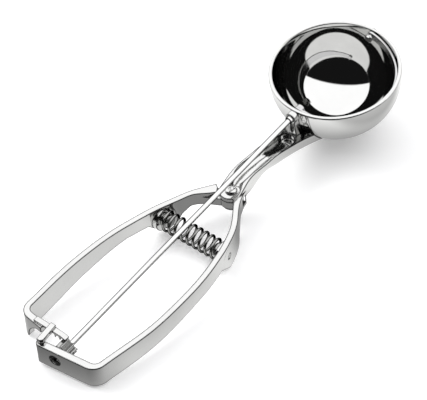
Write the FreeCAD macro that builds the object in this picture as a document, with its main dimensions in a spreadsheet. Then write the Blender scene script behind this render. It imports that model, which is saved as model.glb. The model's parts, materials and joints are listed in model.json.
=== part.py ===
import FreeCAD, Part
import math
import os
import Sketcher

os.makedirs("parts", exist_ok=True)
doc = FreeCAD.newDocument("scoop")
V = FreeCAD.Vector

# Sizes in millimetres and degrees. The handle frame has its origin on the lever pivot at the
# height of the arms' top faces: x to the bowl, y to the lever side, z up.
SIZES = [
    ("bowl_radius", 30.4),
    ("bowl_wall", 1.8),
    ("bowl_centre_drop", 2.4),
    ("rim_round", 0.85),
    ("rim_inner_round", 0.4),
    ("rod_radius", 1.25),
    ("rod_below_rim", 2.6),
    ("rod_angle", 5.6),
    ("rod_over_pivot", 6.45),
    ("wall_reach", 45.8),
    ("run_clear", 0.05),
    ("seat_gap", 0.3),
    ("braze_sink", 0.05),
    ("bush_wall", 0.55),
    ("front_bush_stand", 4.2),
    ("front_bush_inside", 0.3),
    ("arm_thick", 2.8),
    ("arm_reach", 117.4),
    ("fixed_spread", 25.6),
    ("lever_spread", 29.0),
    ("bar_thick", 3.4),
    ("arm_corner", 6.6),
    ("fixed_bar_end", 8.2),
    ("bar_lean", 7.0),
    ("lever_short", 7.6),
    ("lever_bar_end", 13.6),
    ("root_depth", 8.0),
    ("arm_root_depth", 10.5),
    ("seat_depth", 14.7),
    ("fixed_waist", 8.6),
    ("fixed_heel", 10.8),
    ("lever_root_depth", 6.6),
    ("lever_seat_depth", 14.0),
    ("lever_waist", 7.2),
    ("lever_heel", 12.6),
    ("lever_tip_depth", 2.7),
    ("knuckle_radius", 5.4),
    ("knuckle_swing", 0.8),
    ("cheek_thick", 2.1),
    ("low_cheek_radius", 4.4),
    ("knuckle_thick", 4.1),
    ("cheek_gap", 0.12),
    ("pin_radius", 1.8),
    ("pin_head_radius", 2.8),
    ("pin_head_height", 1.5),
    ("pin_dimple", 0.9),
    ("washer_thick", 0.6),
    ("washer_radius", 3.2),
    ("tail_height", 0.7),
    ("neck_half", 5.0),
    ("neck_top", 4.3),
    ("neck_low", 3.6),
    ("neck_wall", 1.25),
    ("trough_round", 2.2),
    ("trough_front", 39.6),
    ("boss_radius", 2.6),
    ("boss_back", 42.8),
    ("boss_front", 50.0),
    ("spring_station", 26.0),
    ("spring_drop", 7.0),
    ("spring_mean_radius", 4.35),
    ("spring_wire", 0.62),
    ("spring_turns", 9.0),
    ("seat_radius", 5.7),
    ("fixed_seat_face", 15.6),
    ("lever_seat_face", 16.9),
    ("stud_radius", 3.2),
    ("stud_length", 3.6),
    ("stud_shank", 1.4),
    ("gear_module", 0.8),
    ("pinion_teeth", 8),
    ("pinion_gap", 1.17),
    ("pinion_length", 5.3),
    ("backlash", 0.3),
    ("rack_inset", 0.3),
    ("rack_width", 2.6),
    ("rack_strip", 1.05),
    ("rack_nose", 0.45),
    ("rack_end", 18.4),
    ("rack_tip", 3.3),
    ("pad_top", 2.2),
    ("pad_clear", 0.3),
    ("pad_near", 6.9),
    ("pad_far", 10.8),
    ("pad_before", 0.3),
    ("pad_short", 1.2),
    ("rack_rivet_radius", 0.8),
    ("blade_clear", 0.55),
    ("blade_thick", 0.8),
    ("blade_width_angle", 16.0),
    ("blade_end_width", 4.2),
    ("blade_rest_angle", 11.0),
    ("hub_radius", 2.0),
    ("hub_length", 1.8),
    ("hub_gap", 0.14),
    ("far_pin_radius", 1.2),
    ("far_head_radius", 2.1),
    ("far_head_height", 0.8),
    ("cross_pin_radius", 0.3),
    ("rod_end_inset", 0.5),
    ("rear_bush_inset", 0.25),
    ("rear_recess_depth", 1.2),
]

sheet = doc.addObject("Spreadsheet::Sheet", "Sizes")
for row, (name, value) in enumerate(SIZES, start=1):
    sheet.set(f"A{row}", name)
    sheet.set(f"B{row}", str(value))
    sheet.setAlias(f"B{row}", name)
doc.recompute()


def cell(name):
    return float(sheet.get(name))


def origin_plane(body, role):
    for feature in body.Origin.OriginFeatures:
        if feature.Role == role:
            return feature
    raise ValueError(role)


def new_body(name):
    body = doc.addObject("PartDesign::Body", name)
    body.Label = name
    return body


def new_sketch(body, name, role, lift=0.0):
    sketch = body.newObject("Sketcher::SketchObject", name)
    sketch.AttachmentSupport = [(origin_plane(body, role), "")]
    sketch.MapMode = "FlatFace"
    sketch.AttachmentOffset = FreeCAD.Placement(V(0, 0, lift), FreeCAD.Rotation())
    return sketch


def closed_lines(sketch, corners):
    count = len(corners)
    first = sketch.GeometryCount
    for i in range(count):
        a = V(corners[i][0], corners[i][1], 0)
        b = V(corners[(i + 1) % count][0], corners[(i + 1) % count][1], 0)
        sketch.addGeometry(Part.LineSegment(a, b), False)
    for i in range(count):
        following = first + (i + 1) % count
        sketch.addConstraint(Sketcher.Constraint("Coincident", first + i, 2, following, 1))


def ring(sketch, radius, x=0.0, y=0.0):
    """A circle whose radius follows a named size or a sum of them."""
    number, text = radius
    index = sketch.addGeometry(Part.Circle(V(x, y, 0), V(0, 0, 1), number), False)
    place = sketch.addConstraint(Sketcher.Constraint("Radius", index, number))
    sketch.setExpression(f"Constraints[{place}]", text)
    if x == 0.0 and y == 0.0:
        sketch.addConstraint(Sketcher.Constraint("Coincident", index, 3, -1, 1))
    return index


def amount(*terms):
    """A number and the matching expression for a sum of factor, name pairs."""
    number = sum(k * cell(n) for k, n in terms)
    text = " + ".join(f"{k} * Sizes.{n}" for k, n in terms)
    return number, text


def pad(body, name, sketch, length, reverse=False, middle=False):
    feature = body.newObject("PartDesign::Pad", name)
    feature.Profile = sketch
    feature.Length = length[0]
    feature.setExpression("Length", length[1])
    feature.Reversed = reverse
    feature.Midplane = middle
    return feature


def pocket_all(body, name, sketch, middle=False, reverse=False):
    feature = body.newObject("PartDesign::Pocket", name)
    feature.Profile = sketch
    feature.Type = 1
    feature.Midplane = middle
    feature.Reversed = reverse
    return feature


def cylinder(body, name, kind, radius, height, place):
    feature = body.newObject(f"PartDesign::{kind}Cylinder", name)
    feature.Radius = radius[0]
    feature.setExpression("Radius", radius[1])
    feature.Height = height[0]
    feature.setExpression("Height", height[1])
    feature.Placement = place
    return feature


def revolve(body, name, sketch, axis, angle=360.0, cut=False, middle=False):
    kind = "PartDesign::Groove" if cut else "PartDesign::Revolution"
    feature = body.newObject(kind, name)
    feature.Profile = sketch
    feature.ReferenceAxis = (sketch, [axis])
    feature.Angle = angle
    feature.Midplane = middle
    return feature


def at(x, y, z, axis=None, angle=0.0):
    turn = FreeCAD.Rotation(axis, angle) if axis else FreeCAD.Rotation()
    return FreeCAD.Placement(V(x, y, z), turn)


X_AXIS = V(1, 0, 0)
Y_AXIS = V(0, 1, 0)
Z_AXIS = V(0, 0, 1)
reach = cell("arm_reach")
lever_reach = reach - cell("lever_short")
bowl_reach = cell("wall_reach") + cell("bowl_radius")
bowl_inner = cell("bowl_radius") - cell("bowl_wall")
blade_radius = bowl_inner - cell("blade_clear")
slope = math.radians(cell("rod_angle"))
bar_tilt = math.radians(cell("bar_lean"))
bar_outer = reach - cell("fixed_bar_end") * math.tan(bar_tilt)
bar_inner = bar_outer - cell("bar_thick") / math.cos(bar_tilt)
pinion_front = bar_inner - cell("pinion_gap") - cell("pinion_length")
rack_front = lever_reach - cell("bar_thick") - cell("rack_inset")
recess_floor = bar_outer - cell("rear_recess_depth")
rod_frame = FreeCAD.Placement(
    V(bowl_reach * math.cos(slope), 0, cell("rod_over_pivot") + bowl_reach * math.sin(slope)),
    FreeCAD.Rotation(Y_AXIS, -cell("rod_angle")))


def rod_x(x):
    """Station along the rod for a station of the handle frame."""
    return x / math.cos(slope) - bowl_reach


def rod_height(x):
    return cell("rod_over_pivot") + x * math.tan(slope)


bore = amount((1, "rod_radius"), (1, "run_clear"))
bush_outer = amount((1, "rod_radius"), (1, "run_clear"), (1, "bush_wall"))
rim_height = cell("rod_below_rim")
centre_height = rim_height - cell("bowl_centre_drop")

# Bowl: a deep round cup with a rounded lip, drawn in the rod frame.
bowl = new_body("bowl")
cup = new_sketch(bowl, "cup_section", "XZ_Plane")
radius = cell("bowl_radius")
cup.addGeometry(Part.ArcOfCircle(Part.Circle(V(0, centre_height, 0), Z_AXIS, radius), -math.pi / 2, 0), False)
lip_out = cell("rim_round")
lip_in = cell("rim_inner_round")
cup.addGeometry(Part.LineSegment(V(radius, centre_height, 0), V(radius, rim_height - lip_out, 0)), False)
cup.addGeometry(Part.ArcOfCircle(Part.Circle(V(radius - lip_out, rim_height - lip_out, 0), Z_AXIS, lip_out),
                                 0, math.pi / 2), False)
cup.addGeometry(Part.LineSegment(V(radius - lip_out, rim_height, 0), V(bowl_inner + lip_in, rim_height, 0)), False)
cup.addGeometry(Part.ArcOfCircle(Part.Circle(V(bowl_inner + lip_in, rim_height - lip_in, 0), Z_AXIS, lip_in),
                                 math.pi / 2, math.pi), False)
cup.addGeometry(Part.LineSegment(V(bowl_inner, rim_height - lip_in, 0), V(bowl_inner, centre_height, 0)), False)
cup.addGeometry(Part.ArcOfCircle(Part.Circle(V(0, centre_height, 0), Z_AXIS, bowl_inner), -math.pi / 2, 0), False)
cup.addGeometry(Part.LineSegment(V(0, centre_height - bowl_inner, 0), V(0, centre_height - radius, 0)), False)
revolve(bowl, "cup", cup, "V_Axis")
cylinder(bowl, "near_hole", "Subtractive", amount((1, "rod_radius"), (2, "run_clear"), (1, "bush_wall")),
         amount((0.5, "bowl_radius")), at(-1.2 * radius, 0, 0, Y_AXIS, 90))
cylinder(bowl, "far_hole", "Subtractive", amount((1, "far_pin_radius"), (0.4, "run_clear")),
         amount((0.5, "bowl_radius")), at(0.7 * radius, 0, 0, Y_AXIS, 90))

# Plan stations of the outer edge of an arm as parts of its reach and of its spread.
FIXED_EDGE = [(-0.032, 0.208), (0.006, 0.262), (0.060, 0.398), (0.102, 0.535), (0.147, 0.652), (0.195, 0.738),
              (0.245, 0.809), (0.295, 0.863), (0.365, 0.926), (0.436, 0.967), (0.525, 0.992),
              (0.612, 1.000), (0.690, 0.990), (0.760, 0.955), (0.830, 0.905)]
LEVER_EDGE = [(0.006, 0.272), (0.063, 0.421), (0.098, 0.500), (0.139, 0.570), (0.179, 0.628),
              (0.223, 0.694), (0.268, 0.752), (0.314, 0.800), (0.362, 0.846), (0.456, 0.925),
              (0.566, 0.977), (0.675, 1.000), (0.783, 0.996), (0.860, 0.982)]


def unit(vector):
    return vector * (1.0 / vector.Length)


def meeting(point, way, other, other_way):
    """Where two lines of the plan cross."""
    gap = other - point
    share = (gap.x * other_way.y - gap.y * other_way.x) / (way.x * other_way.y - way.y * other_way.x)
    return point + way * share


def arm_outline(sketch, edge, side, span, spread, bar_end, rounded):
    """Closed plan of one arm with its end bar; side is 1 for the lever and -1 for the fixed arm."""
    thick = cell("arm_thick")
    corner = cell("arm_corner")
    bar = cell("bar_thick")
    outer = [V(-fx * span, side * fy * spread, 0) for fx, fy in edge]
    last = unit(outer[-1] - outer[-2])
    inward = V(last.y, -last.x, 0)
    if inward.y * side > 0:
        inward = inward * -1
    bar_way = V(math.sin(bar_tilt), side * math.cos(bar_tilt), 0)
    bar_in = V(math.cos(bar_tilt), -side * math.sin(bar_tilt), 0)
    tip_out = V(-span, bar_end, 0)
    tip_in = tip_out + bar_in * bar
    centre = meeting(outer[-1] + inward * corner, last, tip_out + bar_in * corner, bar_way)
    round_in = corner - bar
    centre_in = meeting(outer[-1] + inward * (thick + round_in), last, tip_in + bar_in * round_in, bar_way)
    mid_way = unit(inward + bar_in)
    inner = []
    for i, point in enumerate(outer):
        ahead = outer[min(i + 1, len(outer) - 1)] - outer[max(i - 1, 0)]
        across = unit(V(ahead.y, -ahead.x, 0))
        if across.y * side > 0:
            across = across * -1
        grow = 1.0 + 0.7 * max(0.0, 1.0 - i / 2.0)
        inner.append(point + across * thick * grow)
    inner_end = centre_in - inward * round_in
    outer.append(centre - inward * corner)
    inner = [p for p in inner if p.x > inner_end.x + 4.0] + [inner_end]
    curve = Part.BSplineCurve()
    curve.interpolate(Points=outer, FinalTangent=last)
    sketch.addGeometry(curve, False)
    sketch.addGeometry(Part.Arc(outer[-1], centre - mid_way * corner, centre - bar_in * corner), False)
    sketch.addGeometry(Part.LineSegment(centre - bar_in * corner, tip_out), False)
    if rounded:
        middle = (tip_out + tip_in) * 0.5 - bar_way * (0.5 * bar)
        sketch.addGeometry(Part.Arc(tip_out, middle, tip_in), False)
    else:
        sketch.addGeometry(Part.LineSegment(tip_out, tip_in), False)
    sketch.addGeometry(Part.LineSegment(tip_in, centre_in - bar_in * round_in), False)
    sketch.addGeometry(Part.Arc(centre_in - bar_in * round_in, centre_in - mid_way * round_in, inner_end), False)
    inside = Part.BSplineCurve()
    inside.interpolate(Points=inner, FinalTangent=last)
    sketch.addGeometry(inside, False)
    sketch.addGeometry(Part.LineSegment(inner[0], outer[0]), False)


def trim_outside(body, edge, side, span, spread):
    """Cuts what stands out of an arm's outer face beside the spring seat."""
    face = [V(-fx * span, side * (fy * spread + 0.02), 0) for fx, fy in edge[:9]]
    curve = Part.BSplineCurve()
    curve.interpolate(Points=face)
    plan = new_sketch(body, "seat_trim_plan", "XY_Plane")
    plan.addGeometry(curve, False)
    far = side * 1.6 * spread
    plan.addGeometry(Part.LineSegment(face[-1], V(face[-1].x, far, 0)), False)
    plan.addGeometry(Part.LineSegment(V(face[-1].x, far, 0), V(face[0].x, far, 0)), False)
    plan.addGeometry(Part.LineSegment(V(face[0].x, far, 0), face[0]), False)
    pocket_all(body, "seat_trim", plan, middle=True)


def hull(body, kind, name, sections):
    """Loft through sections of station, half width, top, shoulder and bottom heights."""
    sketches = []
    for i, (x, half, top, shoulder, bottom) in enumerate(sections):
        s = new_sketch(body, f"{name}_section_{i + 1}", "YZ_Plane", x)
        s.addGeometry(Part.Arc(V(-half, shoulder, 0), V(0, bottom, 0), V(half, shoulder, 0)), False)
        s.addGeometry(Part.LineSegment(V(half, shoulder, 0), V(half, top, 0)), False)
        s.addGeometry(Part.LineSegment(V(half, top, 0), V(-half, top, 0)), False)
        s.addGeometry(Part.LineSegment(V(-half, top, 0), V(-half, shoulder, 0)), False)
        for a, b in ((0, 1), (1, 2), (2, 3)):
            s.addConstraint(Sketcher.Constraint("Coincident", a, 2, b, 1))
        s.addConstraint(Sketcher.Constraint("Coincident", 3, 2, 0, 1))
        sketches.append(s)
    feature = body.newObject(f"PartDesign::{kind}Loft", name)
    feature.Profile = sketches[0]
    feature.Sections = sketches[1:]
    return feature


# Fixed handle: neck with trough, knuckle cheeks, rod boss and the fixed arm with its end bar.
fixed = new_body("fixed_handle")
half = cell("neck_half")
top = cell("neck_top")
low = cell("neck_low")
root = cell("root_depth")
neck = cell("wall_reach")
station = -cell("spring_station")
drop = -cell("spring_drop")
hull(fixed, "Additive", "neck", [
    (-0.033 * neck, half + 0.4, 0.0, -4.0, -root + 0.35),
    (0.065 * neck, half + 0.3, 2.2, -2.6, -root + 0.9),
    (0.175 * neck, half, top, -0.8, -low - 3.0),
    (0.35 * neck, half, top, 1.4, -low),
    (0.525 * neck, half, top - 0.5, 0.8, -low - 0.6),
    (0.7 * neck, half, top - 2.0, -1.0, -low - 2.4),
    (0.875 * neck, half + 0.3, top - 3.9, -3.2, -low - 4.2),
    (1.05 * neck, half + 1.6, top - 5.2, -5.2, -low - 5.8),
    (1.22 * neck, half + 2.8, top - 8.6, -7.4, -low - 7.2),
])
arm_plan = new_sketch(fixed, "arm_plan", "XY_Plane")
arm_outline(arm_plan, FIXED_EDGE, -1, reach, cell("fixed_spread"), cell("fixed_bar_end"), True)
pad(fixed, "arm", arm_plan, amount((1, "seat_depth")), reverse=True)
under = new_sketch(fixed, "arm_underside", "XZ_Plane")
seat = cell("seat_depth")
deep = -seat - 3.0
mid_fixed = -0.45 * cell("fixed_waist") - 0.55 * cell("fixed_heel")
closed_lines(under, [(0.15 * neck, deep), (0.15 * neck, -root), (-1.2 * cell("washer_radius"), -root),
                     (-0.06 * reach, -cell("arm_root_depth")), (0.48 * station, -seat + 0.3),
                     (0.98 * station, -seat + 0.2), (1.29 * station, -cell("fixed_waist")),
                     (-0.46 * reach, -cell("fixed_waist")), (-0.64 * reach, mid_fixed),
                     (-0.826 * reach, -cell("fixed_heel")), (-1.04 * reach, -cell("fixed_heel")),
                     (-1.04 * reach, deep)])
pocket_all(fixed, "underside", under, middle=True)
cylinder(fixed, "spring_seat", "Additive", amount((1, "seat_radius")), amount((1, "seat_radius")),
         at(-cell("spring_station"), -cell("fixed_seat_face"), -cell("spring_drop"), X_AXIS, 90))
trim_outside(fixed, FIXED_EDGE, -1, reach, cell("fixed_spread"))
cylinder(fixed, "spot_face", "Subtractive", amount((1, "seat_radius")), amount((1, "seat_radius")),
         at(-cell("spring_station"), -cell("fixed_seat_face"), -cell("spring_drop"), X_AXIS, -90))
cylinder(fixed, "upper_cheek", "Additive", amount((1, "knuckle_radius")), amount((1, "cheek_thick")),
         at(0, 0, -cell("cheek_thick")))
cylinder(fixed, "lower_cheek", "Additive", amount((1, "low_cheek_radius")), amount((0.4, "root_depth")), at(0, 0, -root))
cylinder(fixed, "boss", "Additive", amount((1, "boss_radius")), amount((1, "boss_front"), (-1, "boss_back")),
         rod_frame * at(rod_x(cell("boss_back")), 0, 0, Y_AXIS, 90))
web = fixed.newObject("PartDesign::AdditiveBox", "boss_web")
web.Length = cell("boss_front") - cell("boss_back")
web.setExpression("Length", "Sizes.boss_front - Sizes.boss_back")
web.Width = 1.5 * cell("boss_radius")
web.setExpression("Width", "1.5 * Sizes.boss_radius")
web.Height = 5.0 * cell("boss_radius")
web.setExpression("Height", "5.0 * Sizes.boss_radius")
web.Placement = rod_frame * at(rod_x(cell("boss_back")) + 0.2, -0.75 * cell("boss_radius"), -5.0 * cell("boss_radius"))
wall = cell("neck_wall")
floor = 0.0
hull(fixed, "Subtractive", "trough", [
    (0.08 * neck, half - wall - 1.6, top + 4.0, floor - 0.4, floor - 1.3),
    (0.175 * neck, half - wall - 0.2, top + 4.0, floor + 0.8, floor - 0.9),
    (0.35 * neck, half - wall, top + 4.0, floor + cell("trough_round"), floor - 0.2),
    (0.61 * neck, half - wall, top + 4.0, floor + cell("trough_round") - 1.0, floor - 1.4),
    (cell("trough_front"), half - wall, top + 4.0, floor - 1.2, floor - 3.4),
])
cylinder(fixed, "head_clear", "Subtractive", amount((1, "knuckle_radius"), (-1, "neck_wall")),
         amount((2, "neck_top")), at(0, 0, 0))
cylinder(fixed, "trough_end", "Subtractive", amount((1, "neck_half"), (-1, "neck_wall")),
         amount((3, "neck_top")), at(cell("trough_front"), 0, floor - 2.9))
cylinder(fixed, "knuckle_slot", "Subtractive", amount((1, "knuckle_radius"), (1, "knuckle_swing")),
         amount((1, "knuckle_thick"), (2, "cheek_gap")),
         at(0, 0, -cell("cheek_thick") - cell("knuckle_thick") - 2 * cell("cheek_gap")))
cylinder(fixed, "pin_bore", "Subtractive", amount((1, "pin_radius"), (1, "run_clear")),
         amount((3, "root_depth")), at(0, 0, -2 * root))
sphere = fixed.newObject("PartDesign::SubtractiveSphere", "saddle")
sphere.Radius = cell("bowl_radius") - cell("braze_sink")
sphere.setExpression("Radius", "Sizes.bowl_radius - Sizes.braze_sink")
sphere.Placement = rod_frame * at(0, 0, centre_height)
cylinder(fixed, "saddle_side", "Subtractive", amount((1, "bowl_radius"), (-1, "braze_sink")),
         amount((1, "bowl_radius")), rod_frame * at(0, 0, centre_height))
cylinder(fixed, "front_bore", "Subtractive", amount((1, "rod_radius"), (2, "run_clear"), (1, "bush_wall")),
         amount((0.6, "bowl_radius")), rod_frame * at(rod_x(cell("boss_back") - 3.0), 0, 0, Y_AXIS, 90))
cylinder(fixed, "rear_bore", "Subtractive", amount((1, "rod_radius"), (2, "run_clear"), (1, "bush_wall")),
         amount((3, "bar_thick")), rod_frame * at(rod_x(-bar_outer - cell("bar_thick")), 0, 0, Y_AXIS, 90))
cylinder(fixed, "rear_recess", "Subtractive", amount((1, "rod_radius"), (1, "bush_wall"), (0.25, "bar_thick")),
         amount((2, "bar_thick")), rod_frame * at(rod_x(-recess_floor), 0, 0, Y_AXIS, -90))
cylinder(fixed, "stud_hole", "Subtractive", amount((1, "stud_shank"), (0.4, "run_clear")),
         amount((1, "seat_radius"), (2, "arm_thick")),
         at(-cell("spring_station"), -cell("fixed_seat_face") + 2.0, -cell("spring_drop"), X_AXIS, 90))

# Lever: knuckle disc and the swinging arm with its end bar.
lever = new_body("lever_handle")
lever_plan = new_sketch(lever, "arm_plan", "XY_Plane")
arm_outline(lever_plan, LEVER_EDGE, 1, lever_reach, cell("lever_spread"), cell("lever_bar_end"), False)
pad(lever, "arm", lever_plan, amount((1, "lever_seat_depth")), reverse=True)
lever_under = new_sketch(lever, "arm_underside", "XZ_Plane")
l_seat = cell("lever_seat_depth")
lever_root = -cell("lever_root_depth")
lever_waist = -cell("lever_waist")
heel = cell("lever_heel")
deep = -1.3 * l_seat
closed_lines(lever_under, [(0.04 * neck, deep), (0.04 * neck, lever_root), (0.5 * station, lever_root),
                           (0.67 * station, -0.66 * l_seat), (0.77 * station, -l_seat + 0.2),
                           (1.06 * station, -l_seat + 0.2), (1.29 * station, lever_waist - 0.3),
                           (-0.41 * lever_reach, lever_waist),
                           (-0.565 * lever_reach, 0.55 * lever_waist - 0.45 * heel),
                           (-0.765 * lever_reach, 0.1 * lever_waist - 0.9 * heel),
                           (-0.883 * lever_reach, -heel), (-1.04 * reach, -heel), (-1.04 * reach, deep)])
pocket_all(lever, "underside", lever_under, middle=True)
arch = new_sketch(lever, "bar_underside", "YZ_Plane", -lever_reach + 1.6 * cell("bar_thick"))
tip = cell("lever_tip_depth")
arch_start = cell("lever_bar_end") - 1.0
arch.addGeometry(Part.LineSegment(V(arch_start, -tip, 0), V(arch_start + 4.2, -tip - 0.3, 0)), False)
arch.addGeometry(Part.Arc(V(arch_start + 4.2, -tip - 0.3, 0), V(arch_start + 8.3, -0.52 * heel, 0),
                          V(arch_start + 10.6, -heel - 1.0, 0)), False)
arch.addGeometry(Part.LineSegment(V(arch_start + 10.6, -heel - 1.0, 0), V(arch_start, -heel - 1.0, 0)), False)
arch.addGeometry(Part.LineSegment(V(arch_start, -heel - 1.0, 0), V(arch_start, -tip, 0)), False)
arch_cut = lever.newObject("PartDesign::Pocket", "bar_arch")
arch_cut.Profile = arch
arch_cut.Length = 2.4 * cell("bar_thick")
arch_cut.setExpression("Length", "2.4 * Sizes.bar_thick")
cylinder(lever, "spring_seat", "Additive", amount((1, "seat_radius")), amount((1, "seat_radius")),
         at(-cell("spring_station"), cell("lever_seat_face"), -cell("spring_drop"), X_AXIS, -90))
trim_outside(lever, LEVER_EDGE, 1, lever_reach, cell("lever_spread"))
cylinder(lever, "spot_face", "Subtractive", amount((1, "seat_radius")), amount((1, "seat_radius")),
         at(-cell("spring_station"), cell("lever_seat_face"), -cell("spring_drop"), X_AXIS, 90))
swing = amount((1, "knuckle_radius"), (1, "knuckle_swing"))
cylinder(lever, "upper_clear", "Subtractive", swing, amount((1, "cheek_thick"), (1, "cheek_gap")),
         at(0, 0, -cell("cheek_thick") - cell("cheek_gap")))
cylinder(lever, "lower_clear", "Subtractive", swing, amount((1, "lever_seat_depth")),
         at(0, 0, -cell("cheek_thick") - cell("cheek_gap") - cell("knuckle_thick") - l_seat))
cylinder(lever, "knuckle", "Additive", amount((1, "knuckle_radius")), amount((1, "knuckle_thick")),
         at(0, 0, -cell("cheek_thick") - cell("cheek_gap") - cell("knuckle_thick")))
web_plan = new_sketch(lever, "web_plan", "XY_Plane", -cell("cheek_thick") - cell("cheek_gap"))
disc = cell("knuckle_radius")
spread = cell("lever_spread")
closed_lines(web_plan, [(0.3 * disc, 0), (LEVER_EDGE[0][0] * -lever_reach, 0.97 * LEVER_EDGE[0][1] * spread),
                        (LEVER_EDGE[1][0] * -lever_reach, 0.97 * LEVER_EDGE[1][1] * spread),
                        (LEVER_EDGE[2][0] * -lever_reach, 0.85 * LEVER_EDGE[2][1] * spread), (-0.8 * disc, 0)])
pad(lever, "knuckle_web", web_plan, amount((1, "knuckle_thick")), reverse=True)
cylinder(lever, "pin_bore", "Subtractive", amount((1, "pin_radius"), (1, "run_clear")),
         amount((3, "root_depth")), at(0, 0, -2 * root))
cylinder(lever, "stud_hole", "Subtractive", amount((1, "stud_shank"), (0.4, "run_clear")),
         amount((1, "seat_radius"), (2, "arm_thick")),
         at(-cell("spring_station"), cell("lever_seat_face") - 2.0, -cell("spring_drop"), X_AXIS, -90))
rack_mid = rack_front + 0.5 * cell("rack_width")
pitch_height = rod_height(-rack_mid) + 0.5 * cell("gear_module") * cell("pinion_teeth")
root_height = pitch_height + 1.25 * cell("gear_module")
rack_top = root_height + cell("rack_strip")
rabbet = new_sketch(lever, "rabbet_plan", "XY_Plane", rack_top)
rabbet_front = -lever_reach + 1.5 * cell("bar_thick")
rabbet_rear = -lever_reach - 0.3 * cell("bar_thick")
rabbet_near = cell("lever_bar_end") - 1.0
closed_lines(rabbet, [(rabbet_rear, rabbet_near), (rabbet_front, rabbet_near),
                      (rabbet_front, cell("rack_end") + 0.1), (rabbet_rear, cell("rack_end") + 0.1)])
rabbet_cut = lever.newObject("PartDesign::Pocket", "rack_rabbet")
rabbet_cut.Profile = rabbet
rabbet_cut.Length = cell("rack_strip")
rabbet_cut.setExpression("Length", "Sizes.rack_strip")
rivet_row = 0.5 * (cell("lever_bar_end") + cell("rack_end")) - 0.3
cylinder(lever, "rivet_hole", "Subtractive", amount((1, "rack_rivet_radius"), (0.4, "run_clear")),
         amount((1, "lever_heel")), at(-rack_mid, rivet_row, 1.0 - heel))

# Rack: toothed strip with a guide pad that slides over the end bar of the fixed arm.
rack = new_body("rack")
module = cell("gear_module")
pitch = math.pi * module
profile = new_sketch(rack, "tooth_profile", "YZ_Plane", -rack_front)
tip_height = pitch_height - module
tooth_half = pitch / 4 - cell("backlash")
lean = module * math.tan(math.radians(20))
strip_start = cell("rack_tip")
points = [(cell("rack_nose"), root_height + 0.4 * cell("rack_strip")), (cell("rack_nose"), root_height)]
for k in range(5):
    mid = pitch * (k + 0.5)
    points.append((mid - tooth_half - 1.2 * lean, root_height))
    points.append((mid - tooth_half + lean, tip_height))
    points.append((mid + tooth_half - lean, tip_height))
    points.append((mid + tooth_half + 1.2 * lean, root_height))
points.append((cell("rack_end"), root_height))
points.append((cell("rack_end"), rack_top))
points.append((strip_start, rack_top))
closed_lines(profile, points)
pad(rack, "strip", profile, amount((1, "rack_width")), reverse=True)
guide = new_sketch(rack, "pad_plan", "XY_Plane", cell("pad_clear"))
pad_front = -rack_front + cell("pad_before")
pad_rear = -reach + cell("pad_short")
closed_lines(guide, [(pad_front, cell("pad_near") + 1.2), (pad_rear + 1.2, cell("pad_near")),
                     (pad_rear, cell("pad_near") + 1.0), (pad_rear, cell("pad_far") - 1.2),
                     (pad_front, cell("pad_far"))])
pad(rack, "guide_pad", guide, amount((1, "pad_top"), (-1, "pad_clear")))
cylinder(rack, "rivet_hole", "Subtractive", amount((1, "rack_rivet_radius"), (0.4, "run_clear")),
         amount((1, "lever_heel")), at(-rack_mid, rivet_row, root_height + 0.6 * cell("rack_strip"), X_AXIS, 180))

# Turned and headed small pieces.


def turned(name, sections):
    """A solid of revolution about its own z axis from radius, height corners."""
    body = new_body(name)
    s = new_sketch(body, f"{name}_section", "XZ_Plane")
    closed_lines(s, sections)
    revolve(body, f"{name}_turned", s, "V_Axis")
    return body


pin = cell("pin_radius")
head = cell("pin_head_radius")
rise = cell("pin_head_height")
washer_top = -root
washer_low = washer_top - cell("washer_thick")
pivot_pin = turned("pivot_pin", [(0, rise - 0.45), (cell("pin_dimple"), rise - 0.1), (1.2, rise), (0.62 * head, 0.9 * rise),
                                 (0.88 * head, 0.62 * rise), (head, 0.2 * rise), (head, 0), (pin, 0),
                                 (pin, washer_low), (pin * 1.4, washer_low), (pin * 1.3, washer_low - 0.6 * cell("tail_height")),
                                 (pin * 0.8, washer_low - cell("tail_height")), (0, washer_low - cell("tail_height"))])
pivot_washer = turned("pivot_washer", [(pin + cell("run_clear"), washer_top), (cell("washer_radius"), washer_top),
                                       (cell("washer_radius"), washer_low), (pin + cell("run_clear"), washer_low)])


def stud(name, face, outward, arm_outer):
    """Spring stud: guide end towards the spring, shank through the arm; its axis is z, spring side up."""
    body = turned(name, [(0, cell("stud_length")), (0.8 * cell("stud_radius"), cell("stud_length")),
                         (cell("stud_radius"), cell("stud_length") - 0.8), (cell("stud_radius"), 0),
                         (cell("stud_shank"), 0), (cell("stud_shank"), -arm_outer), (0, -arm_outer)])
    return body


stud_reach = 0.16 * cell("spring_station")
fixed_stud = stud("fixed_spring_stud", cell("fixed_seat_face"), -1, stud_reach)
lever_stud = stud("lever_spring_stud", cell("lever_seat_face"), 1, stud_reach)
r = cell("rack_rivet_radius")
under_bar = -tip - 0.62
rivet_top = root_height + 0.5 * cell("rack_strip")
rack_rivet = turned("rack_rivet", [(0, rivet_top), (r, rivet_top), (r, under_bar),
                                   (1.9 * r, under_bar), (1.5 * r, under_bar - 0.6), (0, under_bar - 0.75)])

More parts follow.
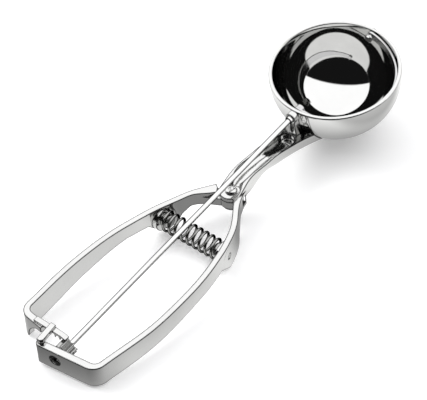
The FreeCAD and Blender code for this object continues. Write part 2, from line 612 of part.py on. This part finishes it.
# Rod group, drawn along z of its own frame and laid along the rod.
rod_rear = rod_x(-bar_outer + cell("rod_end_inset"))
hub_end = -blade_radius + cell("blade_thick") + cell("hub_gap") + cell("hub_length")
rod = turned("rod", [(0, hub_end), (cell("rod_radius") - 0.3, hub_end), (cell("rod_radius"), hub_end - 0.3),
                     (cell("rod_radius"), rod_rear + 0.4), (cell("rod_radius") - 0.4, rod_rear), (0, rod_rear)])
bush_front = -bowl_inner + cell("front_bush_inside")
bush_rear = -cell("bowl_radius") - cell("front_bush_stand")
front_bush = turned("front_bush", [(bore[0], bush_front), (bush_outer[0], bush_front),
                                   (bush_outer[0], bush_rear), (bore[0], bush_rear)])
bush_front = rod_x(-bar_inner - cell("rear_bush_inset"))
bush_rear = rod_x(-recess_floor)
rear_bush = turned("rear_bush", [(bore[0], bush_front), (bush_outer[0], bush_front),
                                 (bush_outer[0], bush_rear), (bore[0], bush_rear)])
far_wall_in = math.sqrt(bowl_inner ** 2 - centre_height ** 2)
far_wall_out = math.sqrt(cell("bowl_radius") ** 2 - centre_height ** 2)
far_r = cell("far_pin_radius")
eye_in = blade_radius - cell("blade_thick") - 1.4
far_rivet = turned("far_rivet", [(0, far_wall_out + cell("far_head_height") + 0.1), (0.6 * cell("far_head_radius"), far_wall_out + 0.8 * cell("far_head_height")),
                                 (cell("far_head_radius"), far_wall_out + 0.15), (far_r, far_wall_out + 0.15),
                                 (far_r, eye_in - 0.6), (1.5 * far_r, eye_in - 0.6), (1.3 * far_r, eye_in - 1.2), (0, eye_in - 1.2)])
far_washer = turned("far_washer", [(far_r + cell("run_clear"), eye_in), (far_r + 0.8, eye_in), (far_r + 0.8, eye_in - 0.55),
                                   (far_r + cell("run_clear"), eye_in - 0.55)])
blade_hub = turned("blade_hub", [(bore[0] - 0.03, hub_end), (cell("hub_radius"), hub_end),
                                 (cell("hub_radius"), hub_end - cell("hub_length")),
                                 (bore[0] - 0.03, hub_end - cell("hub_length"))])
cylinder(blade_hub, "pin_hole", "Subtractive", amount((1, "cross_pin_radius")), amount((4, "hub_radius")),
         at(0, 2 * cell("hub_radius"), hub_end - 0.5 * cell("hub_length"), X_AXIS, 90))
cylinder(rod, "hub_pin_hole", "Subtractive", amount((1, "cross_pin_radius")), amount((4, "hub_radius")),
         at(0, 2 * cell("hub_radius"), hub_end - 0.5 * cell("hub_length"), X_AXIS, 90))
pinion_mid = rod_x(-pinion_front - 0.5 * cell("pinion_length"))
cylinder(rod, "pinion_pin_hole", "Subtractive", amount((1, "cross_pin_radius")), amount((4, "hub_radius")),
         at(0, 2 * cell("hub_radius"), pinion_mid, X_AXIS, 90))


def cross_pin(name, length):
    body = new_body(name)
    cylinder(body, "shank", "Additive", amount((1, "cross_pin_radius"), (-0.4, "run_clear")), length, at(0, 0, -0.5 * length[0]))
    return body


hub_pin = cross_pin("blade_hub_pin", amount((1.96, "hub_radius")))
pinion_pin = cross_pin("pinion_pin", amount((2.3, "gear_module"), (1.1, "hub_radius")))

# Scraper blade: a thin strip bent to the bowl, drawn with its plane on x and y.
blade = new_body("scraper_blade")
b_out = blade_radius
b_in = b_out - cell("blade_thick")
lune = new_sketch(blade, "lune_section", "XY_Plane")
for r in (b_out, b_in):
    lune.addGeometry(Part.ArcOfCircle(Part.Circle(V(0, 0, 0), Z_AXIS, r), math.pi * 1.06, math.pi * 1.94), False)
for a in (1.06, 1.94):
    c, s = math.cos(math.pi * a), math.sin(math.pi * a)
    lune.addGeometry(Part.LineSegment(V(b_in * c, b_in * s, 0), V(b_out * c, b_out * s, 0)), False)
lune_turn = revolve(blade, "lune", lune, "H_Axis", cell("blade_width_angle"), middle=True)
lune_turn.setExpression("Angle", "Sizes.blade_width_angle")
strap = new_sketch(blade, "strap_section", "XY_Plane")
for r in (b_out, b_in):
    strap.addGeometry(Part.ArcOfCircle(Part.Circle(V(0, 0, 0), Z_AXIS, r), math.pi, 2 * math.pi), False)
strap.addGeometry(Part.LineSegment(V(-b_out, 0, 0), V(-b_in, 0, 0)), False)
strap.addGeometry(Part.LineSegment(V(b_in, 0, 0), V(b_out, 0, 0)), False)
pad(blade, "strap", strap, amount((1, "blade_end_width")), middle=True)
for name, x in (("near_eye", -b_out), ("far_eye", b_in)):
    cylinder(blade, name, "Additive", amount((0.5, "blade_end_width")), amount((1, "blade_thick")), at(x, 0, 0, Y_AXIS, 90))
cylinder(blade, "rod_hole", "Subtractive", bore, amount((0.6, "bowl_radius")), at(-1.1 * b_out, 0, 0, Y_AXIS, 90))
cylinder(blade, "pin_hole", "Subtractive", amount((1, "far_pin_radius"), (1, "run_clear")),
         amount((0.6, "bowl_radius")), at(0.7 * b_out, 0, 0, Y_AXIS, 90))

# Pinion: eight teeth on the rod beside the rear bearing.
pinion = new_body("pinion")
gear = new_sketch(pinion, "gear_section", "XY_Plane")
teeth = int(cell("pinion_teeth"))
r_pitch = 0.5 * module * teeth
outline = []
for k in range(teeth):
    base = 2 * math.pi * k / teeth + math.pi / 2
    quarter = math.pi / teeth / 2
    for angle, r in ((-2.0 * quarter, r_pitch - 1.2 * module), (-1.25 * quarter, r_pitch - 0.9 * module),
                     (-0.92 * quarter, r_pitch), (-0.42 * quarter, r_pitch + module),
                     (0.42 * quarter, r_pitch + module), (0.92 * quarter, r_pitch),
                     (1.25 * quarter, r_pitch - 0.9 * module)):
        outline.append((r * math.cos(base + angle), r * math.sin(base + angle)))
closed_lines(gear, outline)
pad(pinion, "gear", gear, amount((1, "pinion_length")), middle=True)
cylinder(pinion, "rod_bore", "Subtractive", amount((1, "rod_radius"), (0.4, "run_clear")),
         amount((4, "pinion_length")), at(0, 0, -2 * cell("pinion_length")))
cylinder(pinion, "pin_hole", "Subtractive", amount((1, "cross_pin_radius")), amount((4, "hub_radius")),
         at(0, 2 * cell("hub_radius"), 0, X_AXIS, 90))

# Coil spring between the two seats, drawn along its own z axis.
spring = new_body("spring")
gap = cell("seat_gap")
length = cell("fixed_seat_face") + cell("lever_seat_face") - 2 * gap - 2 * cell("spring_wire")
wire = new_sketch(spring, "wire_section", "XZ_Plane")
ring(wire, amount((1, "spring_wire")), cell("spring_mean_radius"), 0.0)
coil = spring.newObject("PartDesign::AdditiveHelix", "coil")
coil.Profile = wire
coil.ReferenceAxis = (wire, ["V_Axis"])
coil.Mode = 2
coil.Height = length
coil.Turns = cell("spring_turns")
coil.setExpression("Turns", "Sizes.spring_turns")
doc.recompute()

# Rest pose: the bowl and the two rear heels stand on one plane.
to_z = FreeCAD.Rotation(Y_AXIS, 90)
lay = FreeCAD.Placement(V(0, 0, 0), to_z)
blade_turn = FreeCAD.Placement(V(0, 0, 0), FreeCAD.Rotation(X_AXIS, cell("blade_rest_angle")))
spring_at = FreeCAD.Placement(V(station, -cell("fixed_seat_face") + gap + cell("spring_wire"), drop),
                              FreeCAD.Rotation(X_AXIS, -90))
LOCAL = {
    "bowl": rod_frame,
    "fixed_handle": FreeCAD.Placement(),
    "lever_handle": FreeCAD.Placement(),
    "rack": FreeCAD.Placement(),
    "pivot_pin": FreeCAD.Placement(),
    "pivot_washer": FreeCAD.Placement(),
    "fixed_spring_stud": FreeCAD.Placement(V(station, -cell("fixed_seat_face"), drop), FreeCAD.Rotation(X_AXIS, -90)),
    "lever_spring_stud": FreeCAD.Placement(V(station, cell("lever_seat_face"), drop), FreeCAD.Rotation(X_AXIS, 90)),
    "rack_rivet": at(-rack_mid, rivet_row, 0),
    "rod": rod_frame * lay,
    "front_bush": rod_frame * lay,
    "rear_bush": rod_frame * lay,
    "far_rivet": rod_frame * lay,
    "far_washer": rod_frame * lay,
    "blade_hub": rod_frame * lay,
    "blade_hub_pin": rod_frame * at(hub_end - 0.5 * cell("hub_length"), 0, 0, X_AXIS, 90),
    "scraper_blade": rod_frame * blade_turn,
    "pinion": rod_frame * at(pinion_mid, 0, 0) * lay,
    "pinion_pin": rod_frame * at(pinion_mid, 0, 0, X_AXIS, 90),
    "spring": spring_at,
}
ball = rod_frame.multVec(V(0, 0, centre_height))
fixed_point = V(-reach + 0.6 * cell("arm_corner"), -0.8 * cell("fixed_spread"), -cell("fixed_heel"))
lever_point = V(-lever_reach + 0.7 * cell("arm_corner"), 0.93 * cell("lever_spread"), -heel)
side_line = unit(lever_point - fixed_point)
arm_line = ball - fixed_point
across = arm_line - side_line * arm_line.dot(side_line)
first = unit(across)
second = side_line.cross(first)
cosine = cell("bowl_radius") / across.Length
sine = math.sqrt(1 - cosine * cosine)
normals = [first * cosine + second * sine, first * cosine - second * sine]
normal = max(normals, key=lambda n: n.z)
stand = FreeCAD.Placement(V(0, 0, 0), FreeCAD.Rotation(normal, Z_AXIS))
turned_x = stand.multVec(X_AXIS)
stand = FreeCAD.Placement(V(0, 0, 0), FreeCAD.Rotation(Z_AXIS, -math.degrees(math.atan2(turned_x.y, turned_x.x)))) * stand
bodies = [o for o in doc.Objects if o.TypeId == "PartDesign::Body"]
whole = FreeCAD.BoundBox()
for body in bodies:
    shape = body.Shape.copy()
    shape.Placement = stand * LOCAL[body.Label]
    whole.add(shape.optimalBoundingBox(False))
lift = FreeCAD.Placement(V(-whole.Center.x, -whole.Center.y, -whole.ZMin), FreeCAD.Rotation())
for body in bodies:
    body.Placement = lift * stand * LOCAL[body.Label]
doc.recompute()

for thing in doc.Objects:
    if "Invalid" in thing.State or "Error" in thing.State:
        raise ValueError(f"{thing.Name} did not rebuild")
for body in bodies:
    shape = body.Shape
    if shape.isNull() or not shape.isValid() or len(shape.Solids) != 1:
        raise ValueError(f"{body.Label} is not one valid solid")
    shape.exportStep(f"parts/{body.Label}.step")
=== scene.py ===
import json
import math

import bpy
from mathutils import Matrix, Vector


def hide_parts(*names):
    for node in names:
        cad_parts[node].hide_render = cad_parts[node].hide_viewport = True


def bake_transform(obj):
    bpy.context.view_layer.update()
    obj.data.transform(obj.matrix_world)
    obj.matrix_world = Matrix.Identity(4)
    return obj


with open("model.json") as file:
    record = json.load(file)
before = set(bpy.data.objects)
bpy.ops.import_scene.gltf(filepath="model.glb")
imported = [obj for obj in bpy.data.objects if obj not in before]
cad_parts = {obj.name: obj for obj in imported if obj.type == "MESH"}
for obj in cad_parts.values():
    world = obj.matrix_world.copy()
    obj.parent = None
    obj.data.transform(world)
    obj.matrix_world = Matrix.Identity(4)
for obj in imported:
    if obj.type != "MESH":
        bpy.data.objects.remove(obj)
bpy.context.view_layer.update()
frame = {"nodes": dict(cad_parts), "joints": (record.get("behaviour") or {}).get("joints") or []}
nodes = frame["nodes"]
joints = {j["name"]: j for j in frame["joints"]}
scene = bpy.context.scene


def frame_matrix(at, x, y, z):
    return Matrix(((x.x, y.x, z.x, at.x), (x.y, y.y, z.y, at.y), (x.z, y.z, z.z, at.z), (0, 0, 0, 1)))


# The handle frame at rest: x runs along the rod to the bowl, z is the pivot's axis, and its origin lies on that
# axis a little over the lever joint's own point.
ORIGIN_OVER_JOINT = 0.0042
lever_up = Vector(joints["lever_pivot"]["axis"]).normalized()
rod_dir = Vector(joints["scraper_turn"]["axis"]).normalized()
handle_side = lever_up.cross(rod_dir).normalized()
handle_ahead = handle_side.cross(lever_up)
handle_at = Vector(joints["lever_pivot"]["pos_m"]) + lever_up * ORIGIN_OVER_JOINT
HANDLE = frame_matrix(handle_at, handle_ahead, handle_side, lever_up)

# Places in the handle frame
BOWL_FOOT = (0.0758, 0.0, 0.0)
CROTCH = (-0.006, 0.0, 0.0)
RIM_MIDDLE = (0.07492, 0.0, 0.01914)
RIM_TILT = math.radians(2.113)

# Metals
MARK_SCALE = 900.0
MARK_DEPTH = 0.00002
PATCH_SCALE = 60.0
MARK_SHARE = 0.6
PATCH_TONE = 0.86
CAST_SCALE = 110.0
CAST_DEPTH = 0.0004
# Painted reflection: the spans over which the metal's colour is painted dark, at rounded corners and towards the
# outline of rods and wire, and the dark colour painted there.
PAINTED_EDGE_SPAN = (0.995, 0.94)
PAINTED_RIM_SPAN = (0.28, 0.50)
PAINTED_DARK_COLOUR = (0.02, 0.02, 0.02, 1)
STRAIGHT = (1.0, 1.0, 1.0)
ALONG_X = (0.06, 1.0, 1.0)


def add(tree, kind, **inputs):
    made = tree.nodes.new(kind)
    for key, value in inputs.items():
        made.inputs[key].default_value = value
    return made


def math_node(tree, operation, value, second):
    """A Math node on a linked value; the second is a number or another link."""
    made = tree.nodes.new("ShaderNodeMath")
    made.operation = operation
    tree.links.new(value, made.inputs[0])
    if isinstance(second, (int, float)):
        made.inputs[1].default_value = second
    else:
        tree.links.new(second, made.inputs[1])
    return made


def ranged(tree, value, start, end, low, high, smooth=False):
    """The value, taken from start..end to low..high."""
    made = tree.nodes.new("ShaderNodeMapRange")
    if smooth:
        made.interpolation_type = "SMOOTHSTEP"
    for key, number in (("From Min", start), ("From Max", end), ("To Min", low), ("To Max", high)):
        made.inputs[key].default_value = number
    tree.links.new(value, made.inputs["Value"])
    return made.outputs["Result"]


def darker(tree, colour, value, span, most):
    """The same colour, going towards black as the value runs over the span: this paints dark reflection into the
    metal's colour.
    """
    mix = tree.nodes.new("ShaderNodeMix")
    mix.data_type = "RGBA"
    mix.inputs["B"].default_value = PAINTED_DARK_COLOUR
    tree.links.new(colour, mix.inputs["A"])
    tree.links.new(ranged(tree, value, *span, 0.0, most), mix.inputs["Factor"])
    return mix.outputs["Result"]


def metal(name, base, rough, scratch, grain, stretch=STRAIGHT, cast=0.0, dirt=0.0, edge=0.0, painted_edge_dark=0.0, rim=0.0):
    """Bright metal with uneven polish and hairline marks.

    Cast metal is a little wavy and edge rounds the corners. The argument after edge paints a dark reflection stripe
    into the colour along those corners, and rim paints a dark reflection into a round wire or rod towards its
    outline, darkening its specular tint as well.
    """
    mat = bpy.data.materials.new(name)
    mat.use_nodes = True
    tree = mat.node_tree
    shader = tree.nodes["Principled BSDF"]
    shader.inputs["Base Color"].default_value = (*base, 1)
    shader.inputs["Metallic"].default_value = 1.0
    shader.inputs["Roughness"].default_value = rough
    where = tree.nodes.new("ShaderNodeTexCoord")
    spread = add(tree, "ShaderNodeMapping", Scale=stretch)
    tree.links.new(where.outputs["Object"], spread.inputs["Vector"])
    marks = add(tree, "ShaderNodeTexNoise", Scale=MARK_SCALE, Detail=5.0, Roughness=0.6)
    tree.links.new(spread.outputs["Vector"], marks.inputs["Vector"])
    patches = add(tree, "ShaderNodeTexNoise", Scale=PATCH_SCALE, Detail=3.0, Roughness=0.55)
    tree.links.new(where.outputs["Object"], patches.inputs["Vector"])

    marked = math_node(tree, "MULTIPLY_ADD", marks.outputs["Fac"], MARK_SHARE)
    patched = math_node(tree, "MULTIPLY", patches.outputs["Fac"], 1.0 - MARK_SHARE)
    tree.links.new(patched.outputs["Value"], marked.inputs[2])
    polish = ranged(tree, marked.outputs["Value"], 0.3, 0.7, max(rough - scratch, 0.0), rough + scratch)
    tree.links.new(polish, shader.inputs["Roughness"])

    tint = tree.nodes.new("ShaderNodeMix")
    tint.data_type = "RGBA"
    tint.inputs["A"].default_value = (*base, 1)
    tint.inputs["B"].default_value = (*[c * (PATCH_TONE - dirt) for c in base], 1)
    tree.links.new(patches.outputs["Fac"], tint.inputs["Factor"])
    colour = tint.outputs["Result"]

    bump = add(tree, "ShaderNodeBump", Strength=0.12 + grain, Distance=MARK_DEPTH)
    tree.links.new(marks.outputs["Fac"], bump.inputs["Height"])
    if edge > 0:
        rounding = add(tree, "ShaderNodeBevel", Radius=edge)
        rounding.samples = 8
        tree.links.new(rounding.outputs["Normal"], bump.inputs["Normal"])
        flat = tree.nodes.new("ShaderNodeNewGeometry")
        turn = tree.nodes.new("ShaderNodeVectorMath")
        turn.operation = "DOT_PRODUCT"
        tree.links.new(rounding.outputs["Normal"], turn.inputs[0])
        tree.links.new(flat.outputs["Normal"], turn.inputs[1])
        # Painted reflection: the colour goes dark where the rounded normal turns away from the flat one, a dark
        # stripe along each corner.
        colour = darker(tree, colour, turn.outputs["Value"], PAINTED_EDGE_SPAN, painted_edge_dark)
    # Painted reflection: the colour of a round wire or rod goes dark towards its outline as seen from the camera,
    # and its specular tint darkens with it.
    if rim > 0:
        glance = add(tree, "ShaderNodeLayerWeight", Blend=0.5)
        colour = darker(tree, colour, glance.outputs["Facing"], PAINTED_RIM_SPAN, rim)
        shader.inputs["Specular Tint"].default_value = (1 - rim, 1 - rim, 1 - rim, 1)
    tree.links.new(colour, shader.inputs["Base Color"])

    normal = bump.outputs["Normal"]
    if cast > 0:
        wave = add(tree, "ShaderNodeTexNoise", Scale=CAST_SCALE, Detail=1.5, Roughness=0.4)
        tree.links.new(where.outputs["Object"], wave.inputs["Vector"])
        waves = add(tree, "ShaderNodeBump", Strength=cast, Distance=CAST_DEPTH)
        tree.links.new(wave.outputs["Fac"], waves.inputs["Height"])
        tree.links.new(normal, waves.inputs["Normal"])
        normal = waves.outputs["Normal"]
    tree.links.new(normal, shader.inputs["Normal"])
    return mat


chrome_bowl = metal("chrome_bowl", (0.70, 0.70, 0.69), 0.035, 0.02, 0.0, edge=0.0008, painted_edge_dark=0.85)
chrome_cast = metal("chrome_cast", (0.68, 0.68, 0.67), 0.09, 0.03, 0.05, cast=0.04, edge=0.0010, painted_edge_dark=0.97)
rod_steel = metal("rod_steel", (0.74, 0.74, 0.73), 0.10, 0.04, 0.1, stretch=ALONG_X, rim=0.95)
blade_steel = metal("blade_steel", (0.60, 0.60, 0.60), 0.18, 0.05, 0.15)
rack_steel = metal("rack_steel", (0.66, 0.66, 0.65), 0.14, 0.04, 0.1, edge=0.0006, painted_edge_dark=0.95)
gear_steel = metal("gear_steel", (0.50, 0.50, 0.49), 0.22, 0.06, 0.2, dirt=0.2, edge=0.0005, painted_edge_dark=0.95)
spring_steel = metal("spring_steel", (0.35, 0.35, 0.34), 0.14, 0.06, 0.1, dirt=0.1, rim=0.95)

PIECES_OF = {
    chrome_bowl: ["bowl"],
    chrome_cast: ["fixed_handle", "lever_handle", "pivot_pin", "pivot_washer"],
    rod_steel: ["rod", "far_rivet", "front_bush"],
    blade_steel: ["scraper_blade", "blade_hub", "blade_hub_pin", "far_washer"],
    rack_steel: ["rack"],
    gear_steel: ["pinion", "pinion_pin", "rack_rivet", "rear_bush", "fixed_spring_stud", "lever_spring_stud"],
    spring_steel: ["spring"],
}
finish = {piece: mat for mat, pieces in PIECES_OF.items() for piece in pieces}

WELD_DISTANCE = 0.000002
CREASE_ANGLE = math.radians(32)


def keep_creases(obj):
    """Smooth faces that keep the solid's own sharp edges."""
    weld = obj.modifiers.new("weld", "WELD")
    weld.merge_threshold = WELD_DISTANCE
    crease = obj.modifiers.new("crease", "EDGE_SPLIT")
    crease.split_angle = CREASE_ANGLE


for name, obj in nodes.items():
    if obj.data.has_custom_normals:
        obj.data.attributes.remove(obj.data.attributes["custom_normal"])
    obj.data.shade_smooth()
    keep_creases(obj)
    obj.data.materials.clear()
    obj.data.materials.append(finish[name])

# The spring is drawn from a copy of its mesh, with smooth faces that keep its creases, and the spring part itself
# is hidden.
coil_spring = bpy.data.objects.new("coil_spring", nodes["spring"].data.copy())
scene.collection.objects.link(coil_spring)
keep_creases(coil_spring)
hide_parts("spring")
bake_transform(coil_spring)

# The camera stands where the photograph was taken from, worked out in the plane of the rim.
CAMERA_TURN, CAMERA_HEIGHT, CAMERA_ROLL = (math.radians(a) for a in (-48.65, 44.59, -2.43))
CAMERA_RIGHT, CAMERA_UP, CAMERA_BACK = -0.05498, -0.05931, 1.0
PHOTO_WIDTH = 427.0
FOCAL_LENGTH = 2206.1 / PHOTO_WIDTH
SENSOR = 36.0
look = Vector((-math.sin(CAMERA_TURN) * math.cos(CAMERA_HEIGHT), math.cos(CAMERA_TURN) * math.cos(CAMERA_HEIGHT),
               -math.sin(CAMERA_HEIGHT)))
right = Vector((math.cos(CAMERA_TURN), math.sin(CAMERA_TURN), 0))
up = right.cross(look)
cam_right = right * math.cos(CAMERA_ROLL) + up * math.sin(CAMERA_ROLL)
cam_up = up * math.cos(CAMERA_ROLL) - right * math.sin(CAMERA_ROLL)
cam_at = cam_right * CAMERA_RIGHT + cam_up * CAMERA_UP - look * CAMERA_BACK
rim_frame = HANDLE @ Matrix.Rotation(RIM_TILT, 4, "Y") @ Matrix.Translation(RIM_MIDDLE)
camera = bpy.data.objects.new("camera", bpy.data.cameras.new("camera"))
scene.collection.objects.link(camera)
scene.camera = camera
camera.data.sensor_width = SENSOR
camera.data.lens = FOCAL_LENGTH * SENSOR
camera.data.clip_start = 0.05
camera.data.clip_end = 20.0
camera.matrix_world = rim_frame @ frame_matrix(cam_at, cam_right, cam_up, -look)

# Studio: a bright wall beyond the object and over it, dark behind the camera. The ramp runs from the horizon
# beyond the object, over the top, to the horizon behind the camera.
STUDIO_TURN = math.radians(-14.0)
DARK_HORIZON, BRIGHT, DARK = 0.05, 1.5, 0.01
SKY_BANDS = [(0.0, DARK_HORIZON), (0.022, DARK_HORIZON), (0.04, BRIGHT), (0.645, BRIGHT), (0.66, DARK), (1.0, DARK)]
world = bpy.data.worlds.new("studio")
scene.world = world
world.use_nodes = True
sky = world.node_tree
background = sky.nodes["Background"]
background.inputs["Strength"].default_value = 1.0
camera_ahead = Vector(HANDLE.to_3x3() @ Vector((look.x, look.y, 0)).normalized())
camera_ahead.z = 0
camera_ahead.normalize()
coord = sky.nodes.new("ShaderNodeTexCoord")
ahead = sky.nodes.new("ShaderNodeVectorMath")
ahead.operation = "DOT_PRODUCT"
ahead.inputs[1].default_value = Matrix.Rotation(STUDIO_TURN, 3, "Z") @ camera_ahead
sky.links.new(coord.outputs["Generated"], ahead.inputs[0])
split = sky.nodes.new("ShaderNodeSeparateXYZ")
sky.links.new(coord.outputs["Generated"], split.inputs["Vector"])
climb = math_node(sky, "ARCTAN2", split.outputs["Z"], ahead.outputs["Value"])
share = math_node(sky, "DIVIDE", climb.outputs["Value"], math.pi)
ramp = sky.nodes.new("ShaderNodeValToRGB")
sky.links.new(share.outputs["Value"], ramp.inputs["Fac"])
while len(ramp.color_ramp.elements) < len(SKY_BANDS):
    ramp.color_ramp.elements.new(0.5)
for element, (place, value) in zip(ramp.color_ramp.elements, SKY_BANDS):
    element.position = place
    element.color = (value, value, value * 1.01, 1)
sky.links.new(ramp.outputs["Color"], background.inputs["Color"])


def sheet(name, half, height, mat):
    """A square sheet that lies level and isn't part of the scoop."""
    corners = [(-half, -half, height), (half, -half, height), (half, half, height), (-half, half, height)]
    mesh = bpy.data.meshes.new(name)
    mesh.from_pydata(corners, [], [(0, 1, 2, 3)])
    mesh.materials.append(mat)
    obj = bpy.data.objects.new(name, mesh)
    scene.collection.objects.link(obj)
    return obj


# White paper under the scoop
PAPER_GLOW = 0.18
paper = bpy.data.materials.new("paper")
paper.use_nodes = True
surface = paper.node_tree.nodes["Principled BSDF"]
surface.inputs["Base Color"].default_value = (0.93, 0.93, 0.93, 1)
surface.inputs["Roughness"].default_value = 0.6
surface.inputs["Emission Color"].default_value = (1, 1, 1, 1)
surface.inputs["Emission Strength"].default_value = PAPER_GLOW
floor = sheet("floor", 3.0, 0.0, paper)

# A grey card just over the paper, seen only in the chrome: a glowing painted reflection, with painted shade in it,
# that gives the metal its darker tones.
grey = bpy.data.materials.new("painted_reflection_card")
grey.use_nodes = True
tree = grey.node_tree
tree.nodes.remove(tree.nodes["Principled BSDF"])
painted_reflection_glow = tree.nodes.new("ShaderNodeEmission")
tree.links.new(painted_reflection_glow.outputs["Emission"], tree.nodes["Material Output"].inputs["Surface"])
spot = tree.nodes.new("ShaderNodeTexCoord").outputs["Object"]
along = tree.nodes.new("ShaderNodeSeparateXYZ")
tree.links.new(spot, along.inputs["Vector"])


def distance_from(point):
    """Distance on the card from a point given in the handle frame."""
    at = HANDLE @ Vector(point)
    gap = tree.nodes.new("ShaderNodeVectorMath")
    gap.operation = "DISTANCE"
    gap.inputs[1].default_value = (at.x, at.y, 0.0)
    tree.links.new(spot, gap.inputs[0])
    return gap.outputs["Value"]


beyond = tree.nodes.new("ShaderNodeVectorMath")
beyond.operation = "DOT_PRODUCT"
beyond.inputs[1].default_value = (camera_ahead - Vector((camera_ahead.y, -camera_ahead.x, 0))).normalized()
tree.links.new(spot, beyond.inputs[0])
from_bowl = distance_from(BOWL_FOOT)
# Painted shade in the reflection: each row dims or lifts the glow by place, at the rear end, beside the fixed arm,
# round the bowl's foot, where the arms meet, and far beyond to the left.
PAINTED_REFLECTION_SHADES = [
    (along.outputs["X"], -0.128, -0.082, 0.15, 1.0),    # dark at the rear end
    (along.outputs["Y"], -0.044, -0.024, 0.58, 0.98),   # grey beside the fixed arm
    (from_bowl, 0.006, 0.060, 0.34, 1.25),              # the bowl's own shade
    (from_bowl, 0.080, 0.120, 1.0, 0.78),               # a little greyer farther from it
    (distance_from(CROTCH), 0.012, 0.030, 0.28, 1.0),   # dark where the arms meet
    (beyond.outputs["Value"], 0.16, 0.26, 1.0, 0.08),   # dark far beyond, to the left
]
painted_reflection_level = ranged(tree, *PAINTED_REFLECTION_SHADES[0], smooth=True)
for row in PAINTED_REFLECTION_SHADES[1:]:
    painted_reflection_level = math_node(tree, "MULTIPLY", painted_reflection_level, ranged(tree, *row, smooth=True)).outputs["Value"]
tree.links.new(painted_reflection_level, painted_reflection_glow.inputs["Strength"])
painted_reflection_sheet = sheet("painted_reflection_sheet", 1.5, 0.0002, grey)
painted_reflection_sheet.visible_camera = False
painted_reflection_sheet.visible_diffuse = False
painted_reflection_sheet.visible_shadow = False
painted_reflection_sheet.visible_transmission = False

# One soft lamp over the far side, which the metal doesn't mirror
KEY_PLACE = Vector((-0.25, 1.0, 1.0))
key_light = bpy.data.lights.new("key", "AREA")
key_light.energy = 8.0
key_light.size = 0.75
key = bpy.data.objects.new("key", key_light)
scene.collection.objects.link(key)
key.location = KEY_PLACE
key.rotation_euler = (-KEY_PLACE).to_track_quat("-Z", "Y").to_euler()
key.visible_glossy = False

scene.view_settings.view_transform = "Standard"
